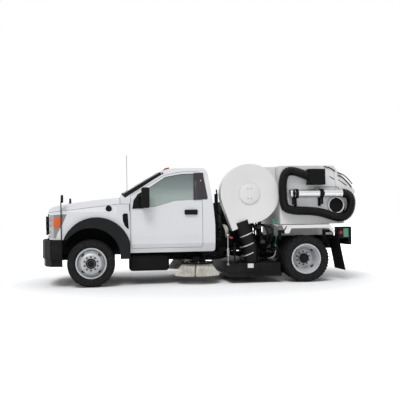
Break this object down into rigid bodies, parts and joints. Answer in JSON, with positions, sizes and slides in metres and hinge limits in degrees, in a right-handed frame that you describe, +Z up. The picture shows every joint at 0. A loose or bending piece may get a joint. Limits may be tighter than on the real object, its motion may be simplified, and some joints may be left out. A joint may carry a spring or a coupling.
{
  "type": "street sweeper truck",
  "caption": "Regenerative-air street sweeper truck: cab, side blower fan, pick-up head, gutter brooms and a tipping hopper with a rear door.",
  "frame": {"origin": "on the ground at the middle of the bounding box", "axes": "+X to the front of the truck, +Y to the driver side (left), +Z up"},
  "size_m": [5.537, 2.47, 2.405],
  "materials": {
    "white_paint": "satin",
    "black_paint": "satin",
    "bare_steel": "satin",
    "chrome_rod": "polished",
    "cast_iron": "rough",
    "tank_steel": "satin",
    "tyre": "matte",
    "rim_steel": "satin",
    "black_plastic": "matte",
    "dash_plastic": "matte",
    "seat_fabric": "woven",
    "rubber": "matte",
    "bristle": "matte",
    "glass": "tinted",
    "lamp_clear": "clear",
    "lamp_amber": "clear",
    "tube_aluminium": "brushed"
  },
  "bodies": {
    "chassis": {"air_hoses": "rubber", "bench_seat": "seat_fabric", "body_frame": "black_paint", "cab_glass": "glass", "cab_shell": "white_paint", "cab_trim": "black_plastic", "dashboard": "dash_plastic", "driveline": "bare_steel", "engine_block": "cast_iron", "fan_housing": "white_paint", "frame_members": "black_paint", "frame_rail_left": "black_paint", "frame_rail_right": "black_paint", "front_axle": "bare_steel", "front_bumper": "black_plastic", "front_fenders": "white_paint", "fuel_tank": "tank_steel", "grille": "black_plastic", "headlamps": "lamp_clear", "marker_lamps": "lamp_amber", "mud_flaps": "rubber", "power_unit": "black_paint", "rear_axle": "bare_steel", "rear_bumper": "black_paint", "rear_fenders": "white_paint", "wheel_flares": "black_plastic"},
    "knuckle_left": {"knuckle_left": "bare_steel"},
    "front_wheel_left": {"front_tyre_left": "tyre", "front_rim_left": "rim_steel"},
    "rear_wheel_left": {"rear_tyres_left": "tyre", "rear_rims_left": "rim_steel"},
    "door_left": {"door_left": "white_paint", "door_glass_left": "glass", "door_trim_left": "black_plastic"},
    "broom_arm_left": {"broom_arm_left": "black_paint"},
    "broom_carrier_left": {"broom_carrier_left": "black_paint"},
    "broom_left": {"broom_plate_left": "black_paint", "broom_bristles_left": "bristle"},
    "knuckle_right": {"knuckle_right": "bare_steel"},
    "front_wheel_right": {"front_tyre_right": "tyre", "front_rim_right": "rim_steel"},
    "rear_wheel_right": {"rear_tyres_right": "tyre", "rear_rims_right": "rim_steel"},
    "door_right": {"door_right": "white_paint", "door_glass_right": "glass", "door_trim_right": "black_plastic"},
    "broom_arm_right": {"broom_arm_right": "black_paint"},
    "broom_carrier_right": {"broom_carrier_right": "black_paint"},
    "broom_right": {"broom_plate_right": "black_paint", "broom_bristles_right": "bristle"},
    "tie_rod": {"tie_rod": "bare_steel"},
    "hood": {"hood": "white_paint"},
    "hopper": {"hopper": "white_paint", "hand_hose": "rubber", "hand_tube": "tube_aluminium", "hopper_fittings": "black_paint"},
    "hopper_door": {"hopper_door": "white_paint"},
    "lift_barrels": {"lift_barrels": "black_paint"},
    "lift_rods": {"lift_rods": "chrome_rod"},
    "pickup_head": {"pickup_head": "black_paint"}
  },
  "joints": [
    {"name": "steer_left", "type": "hinge", "parent": "chassis", "child": "knuckle_left", "pos_m": [1.8985, 0.88, 0.403], "axis": [0, 0, 1], "range_deg": [-35, 35]},
    {"name": "front_wheel_spin_left", "type": "hinge", "parent": "knuckle_left", "child": "front_wheel_left", "pos_m": [1.8985, 0.945, 0.403], "axis": [0, 1, 0], "continuous": true},
    {"name": "rear_wheel_spin_left", "type": "hinge", "parent": "chassis", "child": "rear_wheel_left", "pos_m": [-1.7845, 0.94, 0.403], "axis": [0, 1, 0], "continuous": true},
    {"name": "door_swing_left", "type": "hinge", "parent": "chassis", "child": "door_left", "pos_m": [1.2219, 1.016, 1.2], "axis": [0, 0, -1], "range_deg": [0, 65]},
    {"name": "broom_arm_swing_left", "type": "hinge", "parent": "chassis", "child": "broom_arm_left", "pos_m": [-0.3765, 0.56, 0.515], "axis": [0, 0, 1], "range_deg": [0, 20]},
    {"name": "broom_lift_left", "type": "slide", "parent": "broom_arm_left", "child": "broom_carrier_left", "axis": [0, 0, 1], "range_m": [-0.13, 0]},
    {"name": "broom_spin_left", "type": "hinge", "parent": "broom_carrier_left", "child": "broom_left", "pos_m": [0.0815, 0.8, 0.3], "axis": [0, 0, 1], "continuous": true},
    {"name": "steer_right", "type": "hinge", "parent": "chassis", "child": "knuckle_right", "pos_m": [1.8985, -0.88, 0.403], "axis": [0, 0, 1], "range_deg": [-35, 35]},
    {"name": "front_wheel_spin_right", "type": "hinge", "parent": "knuckle_right", "child": "front_wheel_right", "pos_m": [1.8985, -0.945, 0.403], "axis": [0, 1, 0], "continuous": true},
    {"name": "rear_wheel_spin_right", "type": "hinge", "parent": "chassis", "child": "rear_wheel_right", "pos_m": [-1.7845, -0.94, 0.403], "axis": [0, 1, 0], "continuous": true},
    {"name": "door_swing_right", "type": "hinge", "parent": "chassis", "child": "door_right", "pos_m": [1.2219, -1.016, 1.2], "axis": [0, 0, 1], "range_deg": [0, 65]},
    {"name": "broom_arm_swing_right", "type": "hinge", "parent": "chassis", "child": "broom_arm_right", "pos_m": [-0.3765, -0.56, 0.515], "axis": [0, 0, -1], "range_deg": [0, 20]},
    {"name": "broom_lift_right", "type": "slide", "parent": "broom_arm_right", "child": "broom_carrier_right", "axis": [0, 0, 1], "range_m": [-0.13, 0]},
    {"name": "broom_spin_right", "type": "hinge", "parent": "broom_carrier_right", "child": "broom_right", "pos_m": [0.0815, -0.8, 0.3], "axis": [0, 0, 1], "continuous": true},
    {"name": "tie_rod_slide", "type": "slide", "parent": "chassis", "child": "tie_rod", "axis": [0, 1, 0], "range_m": [-0.09, 0.09]},
    {"name": "hood_tilt", "type": "hinge", "parent": "chassis", "child": "hood", "pos_m": [1.4065, 0, 1.518], "axis": [0, -1, 0], "range_deg": [0, 50]},
    {"name": "hopper_tilt", "type": "hinge", "parent": "chassis", "child": "hopper", "pos_m": [-2.4815, 0, 0.85], "axis": [0, -1, 0], "range_deg": [0, 50]},
    {"name": "hopper_door_swing", "type": "hinge", "parent": "hopper", "child": "hopper_door", "pos_m": [-2.3649, 0, 2.032], "axis": [0, 1, 0], "range_deg": [0, 60]},
    {"name": "lift_barrel_swing", "type": "hinge", "parent": "chassis", "child": "lift_barrels", "pos_m": [-2.3515, 0, 0.6], "axis": [0, -1, 0], "range_deg": [0, 31]},
    {"name": "lift_rod_slide", "type": "slide", "parent": "lift_barrels", "child": "lift_rods", "axis": [0.4836, 0, 0.8753], "range_m": [0, 0.172]},
    {"name": "head_lift", "type": "slide", "parent": "chassis", "child": "pickup_head", "axis": [0, 0, 1], "range_m": [-0.11, 0]}
  ],
  "couplings": [
    {"joint": "steer_right", "follows": "steer_left", "ratio": 1},
    {"joint": "tie_rod_slide", "follows": "steer_left", "m_per_rad": -0.1435},
    {"joint": "lift_barrel_swing", "follows": "hopper_tilt", "ratio": 0.588},
    {"joint": "lift_rod_slide", "follows": "hopper_tilt", "m_per_rad": 0.194}
  ]
}
